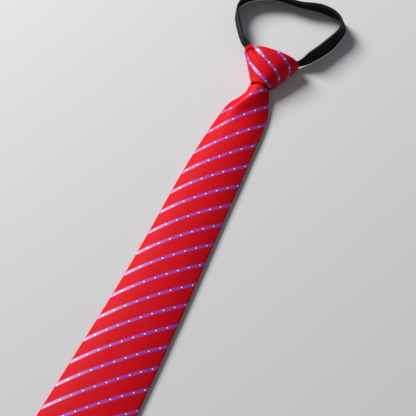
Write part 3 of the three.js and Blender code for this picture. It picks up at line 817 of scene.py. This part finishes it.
def strap_route(steps):
    """Evenly spaced points of the strap's middle line, with its inward side, foot, height, lean and the
    length so far at each. A smooth curve by chord length runs through the table's rows, and it is cut
    into even steps of its own length. The side is the way, turned a quarter."""
    end_x, end_y = SLIDER_WIDTH * END_ASIDE, SLIDER_TOP + END_GAP + STRAP_THICKNESS / 2
    loop = STRAP_TABLE * [LOOP_WIDTH, LOOP_DEPTH, 1, 1, STRAP_LEAN] + [LOOP_MIDDLE, KNOT_LENGTH, 0, 0, 0]
    first, last = ([(MOUTH_OFFSET + turn * end_x, end_y, 1.0, END_HEIGHT, 0.0)] for turn in (-1, 1))
    rows = np.concatenate([first, loop, last])
    chord = length_along(rows)
    fine = np.linspace(0, chord[-1], 4000)
    line = np.stack([smooth_table(fine, chord, column) for column in rows.T], axis=-1)
    run = length_along(line)
    even = np.linspace(0, run[-1], steps)
    line = np.stack([np.interp(even, run, column) for column in line.T], axis=-1)
    way = np.gradient(line[:, :2], axis=0)
    way /= np.linalg.norm(way, axis=1)[:, None]
    side = np.stack([way[:, 1], -way[:, 0]], axis=-1)
    foot = np.maximum(line[:, 2], 0) * KNOT_FLOOR
    tall = np.clip(line[:, 3], 0, 1) * STRAP_HEIGHT
    return line[:, :2], side, foot, tall, line[:, 4], even


print("strap length, mm:", round(float(strap_route(500)[5][-1]), 1))

# %% [markdown]
# Zip tape is a dense black weave with a row of stitches. Along both its turned edges a lighter band is a
# painted highlight, standing for the light those edges catch. All three follow the tape, so they are worked
# out from its own coordinates, along and across, in the same way as the stripes: sines for the ribs, a soft
# mask for the painted edge highlight, and a folded-back length for the dashes. The coil and the slider are
# plain nylon, smoother than the tape.

# %% Tape finish
BLACK_VIEW = (0.02, 0.02, 0.02, 1)
TAPE_DARK = (0.006, 0.006, 0.0065, 1)
TAPE_LIGHT = (0.020, 0.020, 0.021, 1)
# The edge colour below is a painted highlight: both rims of the tape are made lighter for the light a turned
# edge catches.
TAPE_EDGE_HIGHLIGHT = (0.05, 0.05, 0.055, 1)
STITCH_BLACK = (0.03, 0.03, 0.033, 1)
TAPE_RIB = 0.7 * MM
TAPE_THREAD = 0.55 * MM
EDGE_BLUR = 0.25 * MM
STITCH_STEP = 2.4 * MM
STITCH_SHARE = 0.34
STITCH_HALF = 0.16 * MM
STITCH_BLUR = 0.15 * MM
STITCH_HEIGHT = 2.0
TAPE_RELIEF = 0.6
TAPE_THREAD_DEPTH = 0.12 * MM


def tape_material(name, edge, seam):
    """Black woven tape: the ribs are a sine along times a sine across. Past edge from the tape's middle a
    painted highlight lightens its turned edges, and at seam runs a row of stitches, with distances in mm."""
    material, tree, shader = new_material(name, BLACK_VIEW, Roughness=0.72, Specular_IOR_Level=0.1)
    parts = tree.nodes.new("ShaderNodeSeparateXYZ")
    tree.links.new(cloth_map(tree), parts.inputs[0])
    along, across = parts.outputs[0], parts.outputs[1]
    warp = math_step(tree, "SINE", math_step(tree, "MULTIPLY", along, 2 * math.pi / TAPE_RIB))
    weft = math_step(tree, "SINE", math_step(tree, "MULTIPLY", across, 2 * math.pi / TAPE_THREAD))
    ribs = math_step(tree, "MULTIPLY", warp, weft)
    weave = colour_mix(tree, math_step(tree, "MULTIPLY_ADD", ribs, 0.5, 0.5), TAPE_DARK, TAPE_LIGHT)
    out = math_step(tree, "ABSOLUTE", across)
    # Painted highlight: past edge, out to both rims, the tape's colour is lightened.
    edge_highlighted = colour_mix(tree, soft_mask(tree, out, edge * MM, EDGE_BLUR), TAPE_EDGE_HIGHLIGHT, weave)
    from_seam = math_step(tree, "ABSOLUTE", math_step(tree, "SUBTRACT", out, seam * MM))
    row = soft_mask(tree, from_seam, STITCH_HALF, STITCH_HALF / 2)
    step = math_step(tree, "PINGPONG", along, STITCH_STEP / 2)
    dash = soft_mask(tree, step, STITCH_STEP * STITCH_SHARE, STITCH_BLUR)
    stitch = math_step(tree, "MULTIPLY", row, dash)
    tree.links.new(colour_mix(tree, stitch, edge_highlighted, STITCH_BLACK), shader.inputs["Base Color"])
    height = math_step(tree, "ADD", ribs, math_step(tree, "MULTIPLY", stitch, STITCH_HEIGHT))
    raise_threads(tree, shader, height, TAPE_RELIEF, TAPE_THREAD_DEPTH)
    return material


TAPE = tape_material("zip_tape", edge=6.3, seam=3.6)
TAIL_TAPE = tape_material("closed_tape", edge=13.2, seam=9.0)
print("tape materials:", TAPE.name, TAIL_TAPE.name)

# %% Nylon finish
NYLON_DARK = (0.010, 0.010, 0.011, 1)
NYLON_LIGHT = (0.020, 0.020, 0.022, 1)
NYLON_MOTTLE = 900.0


def nylon_material():
    """Black moulded nylon: a noise mottles its colour and its roughness, from 0.3 to 0.5."""
    material, tree, shader = new_material("nylon", BLACK_VIEW, Specular_IOR_Level=0.5)
    place = tree.nodes.new("ShaderNodeTexCoord")
    grey = noise(tree, place.outputs["Object"], NYLON_MOTTLE)
    tree.links.new(colour_mix(tree, grey, NYLON_DARK, NYLON_LIGHT), shader.inputs["Base Color"])
    tree.links.new(math_step(tree, "MULTIPLY_ADD", grey, 0.2, 0.3), shader.inputs["Roughness"])
    return material


NYLON = nylon_material()
print("nylon material:", NYLON.name)

# %% The strap itself
FLAT_SQUARENESS = 0.3
EDGE_ROUNDNESS = 0.75


def section_ring(sides):
    """A round-edged bar's section, in shares of its half sizes: the cosine and the sine of the turn, each
    to a power of its own that keeps its sign."""
    turn = np.linspace(0, 2 * math.pi, sides, endpoint=False) + math.pi / sides
    cos, sin = np.cos(turn), np.sin(turn)
    return np.sign(cos) * np.abs(cos) ** FLAT_SQUARENESS, np.sign(sin) * np.abs(sin) ** EDGE_ROUNDNESS


def build_strap(steps=420, sides=32):
    """The tape's section carried along the route: across it is its half thickness, and up it its height.
    The lean moves each point sideways by its share of the height."""
    line, side, foot, tall, lean, run = strap_route(steps)
    up, out = section_ring(sides)
    offset = out[None, :] * STRAP_THICKNESS / 2 + up[None, :] * lean[:, None] / 2
    xy = line[:, None, :] + side[:, None, :] * offset[..., None]
    z = foot[:, None] + tall[:, None] * (1 + up[None, :]) / 2
    grid = np.concatenate([xy, z[..., None]], axis=-1)
    turn_u = np.append(up, up[:1])[None, :] * tall[:, None] / 2
    cloth = np.stack([np.repeat(run[:, None], sides + 1, axis=1), turn_u], axis=-1)
    return grid_piece("strap_tape", grid, TAPE, cloth, wrap_columns=True, caps=ladder_caps(sides), sharp=60)


strap = build_strap()
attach(strap, "root")
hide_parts("neck_strap")

# %% [markdown]
# ## The zip's coil
#
# A nylon zip has no separate teeth: a thread of nylon winds along the tape's edge, pressed flat. It is a
# helix with a flattened section, so each strand is worked out from the route, the turn and the strand's
# own thickness, and only a few sides are needed.

# %% Coil teeth
STRAND_SIDES = 6
STEPS_PER_TURN = 14


def helix_tube(centre, side, up, run, half_side, half_up, pitch, wire):
    """A tube on a flattened helix. The middle is centre plus side times the cosine and up times the sine
    of the turn, and the tube's ring lies across the way the middle runs."""
    at = np.linspace(run[0], run[-1], int((run[-1] - run[0]) / pitch * STEPS_PER_TURN))
    middle, out, rise = (
        np.stack([np.interp(at, run, column) for column in rows.T], axis=-1) for rows in (centre, side, up)
    )
    turn = (2 * math.pi * (at - run[0]) / pitch)[:, None]
    path = middle + out * half_side * np.cos(turn) + rise * half_up * np.sin(turn)
    way = np.gradient(path, axis=0)
    way /= np.linalg.norm(way, axis=1)[:, None]
    spoke = out * np.cos(turn) + rise * np.sin(turn)
    spoke -= way * np.sum(spoke * way, axis=1)[:, None]
    spoke /= np.linalg.norm(spoke, axis=1)[:, None]
    other = np.cross(way, spoke)
    ring = (np.arange(STRAND_SIDES) / STRAND_SIDES * 2 * math.pi)[None, :, None]
    return path[:, None, :] + wire * (spoke[:, None, :] * np.cos(ring) + other[:, None, :] * np.sin(ring))


def teeth_piece(name, strands):
    """A coil's mesh from its strands: a smooth tube, closed at both ends."""
    return grid_piece(name, strands, NYLON, wrap_columns=True, caps=ladder_caps(STRAND_SIDES), sharp=180)


# The strap's coil: its pitch, wire and half sizes, its gap off the tape and its middle under the edge,
# and the part of the route's points that it covers.
COIL_PITCH = 1.25
COIL_WIRE = 0.28
COIL_HALF_OUT = 0.40
COIL_HALF_UP = 1.02
COIL_GAP = 0.3
COIL_BELOW_EDGE = 1.8
COIL_STEPS = 1200
COIL_SPAN = slice(112, 1082)


def strap_helix():
    """The coil on the strap's inner face, just under its upper edge, on the open loop. Where the tape
    leans, its middle moves sideways and its upward side leans by the same share of the height."""
    line, side, foot, tall, lean, run = strap_route(COIL_STEPS)
    depth = STRAP_THICKNESS / 2 + COIL_GAP + COIL_HALF_OUT
    z = foot + tall - COIL_BELOW_EDGE
    xy = line + side * (depth + lean * ((z - foot) / tall - 0.5))[:, None]
    centre = np.concatenate([xy, z[:, None]], axis=1)
    out = np.concatenate([side, 0 * z[:, None]], axis=1)
    up = np.concatenate([side * (lean / tall)[:, None], 1 + 0 * z[:, None]], axis=1)
    centre, out, up, run = (rows[COIL_SPAN] for rows in (centre, out, up, run))
    return helix_tube(centre, out, up, run, COIL_HALF_OUT, COIL_HALF_UP, COIL_PITCH, COIL_WIRE)


coil = teeth_piece("strap_teeth", strap_helix())
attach(coil, "root")
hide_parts("strap_coil")

# %% [markdown]
# ## The closed zip behind the blade
#
# Below the slider the two tapes run on as one flat closed zip, under the blade. Nobody sees it in the
# usual view, yet it is what makes the tie a zipper tie, so it gets the same tape and coil.

# %% The closed zip
TAIL_LENGTH = 165.0
TAIL_WIDTH = 28.0
TAIL_THICKNESS = 1.1
TAIL_NECK = 0.72
TAIL_WIDENS = (8.0, 64.0)
TAIL_DROPS = (1.0, 24.0)
SLIDER_FOOT = 11.0
SLIDER_GAP = 0.3
# The closed coil: its pitch, wire and half sizes, and where it stops before the tape's end.
CLOSED_PITCH = 0.8
CLOSED_WIRE = 0.2
CLOSED_HALF_OUT = 2.2
CLOSED_HALF_UP = 0.1
CLOSED_STEPS = 800
CLOSED_END = 2.0


def tail_line(distance):
    """Half width and foot of the closed zip: narrow to pass the mouth, it widens in one soft step and
    comes down to the floor in another."""
    half = lerp(NECK_HALF * TAIL_NECK, TAIL_WIDTH / 2, smoothstep(distance, *TAIL_WIDENS))
    foot = lerp(KNOT_FLOOR, 0, smoothstep(distance, *TAIL_DROPS))
    return half, foot


def build_tail(steps=150, sides=32):
    """The tape's flat section carried down from the slider: across it is its half width, and up it its
    half thickness."""
    distance = np.linspace(SLIDER_GAP - SLIDER_FOOT, TAIL_LENGTH, steps)
    half, foot = tail_line(distance)
    wide, thick = section_ring(sides)
    x = MOUTH_OFFSET + wide[None, :] * half[:, None]
    z = foot[:, None] + TAIL_THICKNESS * (1 + thick[None, :]) / 2
    y = np.repeat(-distance[:, None], sides, axis=1)
    turn_u = np.append(wide, wide[:1])[None, :] * half[:, None]
    cloth = np.stack([np.repeat(distance[:, None], sides + 1, axis=1), turn_u], axis=-1)
    grid = np.stack([x, y, z], axis=-1)
    caps = ladder_caps(sides)
    return grid_piece("tail_tape", grid, TAIL_TAPE, cloth, wrap_columns=True, caps=caps, sharp=60)


def tail_helix():
    """The closed coil down the middle of the tape, a wide flat helix."""
    distance = np.linspace(2 * SLIDER_GAP - SLIDER_FOOT, TAIL_LENGTH - CLOSED_END, CLOSED_STEPS)
    z = tail_line(distance)[1] + TAIL_THICKNESS + CLOSED_HALF_UP + CLOSED_WIRE + COIL_GAP
    centre = np.stack([MOUTH_OFFSET + 0 * z, -distance, z], axis=-1)
    out = np.repeat([[1.0, 0.0, 0.0]], len(centre), axis=0)
    up = np.repeat([[0.0, 0.0, 1.0]], len(centre), axis=0)
    return helix_tube(centre, out, up, distance, CLOSED_HALF_OUT, CLOSED_HALF_UP, CLOSED_PITCH, CLOSED_WIRE)


tail = build_tail()
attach(tail, "root")
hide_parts("zip_tail")
teeth = teeth_piece("tail_teeth", tail_helix())
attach(teeth, "root")
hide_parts("tail_coil")

# %% [markdown]
# ## The slider
#
# The slider sits inside the knot, where nobody looks, so the frame's plain solid is enough. It only gets
# the nylon, put in place of the frame's own material.

# %% The slider keeps its frame shape
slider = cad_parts["zip_slider"]
slider.data.materials.clear()
slider.data.materials.append(NYLON)
print("slider:", slider.data.materials[0].name)

# %% [markdown]
# ## Floor, light and camera
#
# A pale floor, one broad soft light from the left and a weak fill from the right give the crown its
# change from bright to deep red. The camera stands where the photographer stood: high, to the right of
# the tip, with a long lens.

# %% The floor
FLOOR_REACH = 6.0
FLOOR_DROP = 0.2 * MM
FLOOR_GREY = (0.72, 0.72, 0.73, 1)


def build_floor():
    """A plain pale floor, a square wide enough for every view, a hair under the pieces that lie on it."""
    mesh = bpy.data.meshes.new("floor")
    square = [(-1, -1, 0), (1, -1, 0), (1, 1, 0), (-1, 1, 0)]
    mesh.from_pydata((np.array(square) * FLOOR_REACH).tolist(), [], [(0, 1, 2, 3)])
    material = new_material("floor_paper", FLOOR_GREY, Roughness=0.9, Base_Color=FLOOR_GREY)[0]
    mesh.materials.append(material)
    floor = bpy.data.objects.new("floor", mesh)
    floor.location = (0, 0, -FLOOR_DROP)
    bpy.context.scene.collection.objects.link(floor)
    return floor


print("floor:", build_floor().name)

# %% The lights
WINDOW = {"place": (-2.1, 1.0, 1.5), "size": 1.1, "power": 106, "colour": (1.0, 0.99, 0.98)}
FILL = {"place": (1.6, -1.4, 1.8), "size": 2.0, "power": 3, "colour": (0.96, 0.98, 1.0)}
ROOM_COLOUR = (0.9, 0.93, 1.0, 1)
ROOM_STRENGTH = 0.13


def area_light(name, place, size, power, colour):
    """A soft square light that faces the frame's origin: its own -Z is turned along the way there."""
    data = bpy.data.lights.new(name, "AREA")
    data.size, data.energy, data.color = size, power, colour
    light = bpy.data.objects.new(name, data)
    light.location = place
    light.rotation_mode = "QUATERNION"
    light.rotation_quaternion = (-Vector(place)).to_track_quat("-Z", "Y")
    bpy.context.scene.collection.objects.link(light)
    return light


lights = [area_light("window", **WINDOW), area_light("fill", **FILL)]
world = bpy.data.worlds.new("room")
world.use_nodes = True
room_light = world.node_tree.nodes["Background"]
room_light.inputs["Color"].default_value = ROOM_COLOUR
room_light.inputs["Strength"].default_value = ROOM_STRENGTH
bpy.context.scene.world = world
bpy.context.scene.view_settings.view_transform = "Standard"
print("lights:", {light.name: light.data.energy for light in lights})

# %% The camera
CAMERA_FROM_MOUTH = np.array([550.85, -1410.2, 1850.0])
CAMERA_WAY = Vector((-0.2358, 0.5512, -0.8003))
CAMERA_LENS = 230.8
SENSOR_WIDTH = 36
CLIP_NEAR, CLIP_FAR = 0.1, 20
camera_data = bpy.data.cameras.new("camera")
camera_data.lens = CAMERA_LENS
camera_data.sensor_width = SENSOR_WIDTH
camera_data.clip_start, camera_data.clip_end = CLIP_NEAR, CLIP_FAR
camera = bpy.data.objects.new("camera", camera_data)
camera.location = (CAMERA_FROM_MOUTH + MOUTH) * MM
camera.rotation_mode = "QUATERNION"
camera.rotation_quaternion = CAMERA_WAY.to_track_quat("-Z", "Y")
bpy.context.scene.collection.objects.link(camera)
bpy.context.scene.camera = camera
print("camera at, metres:", [round(v, 3) for v in camera.location])
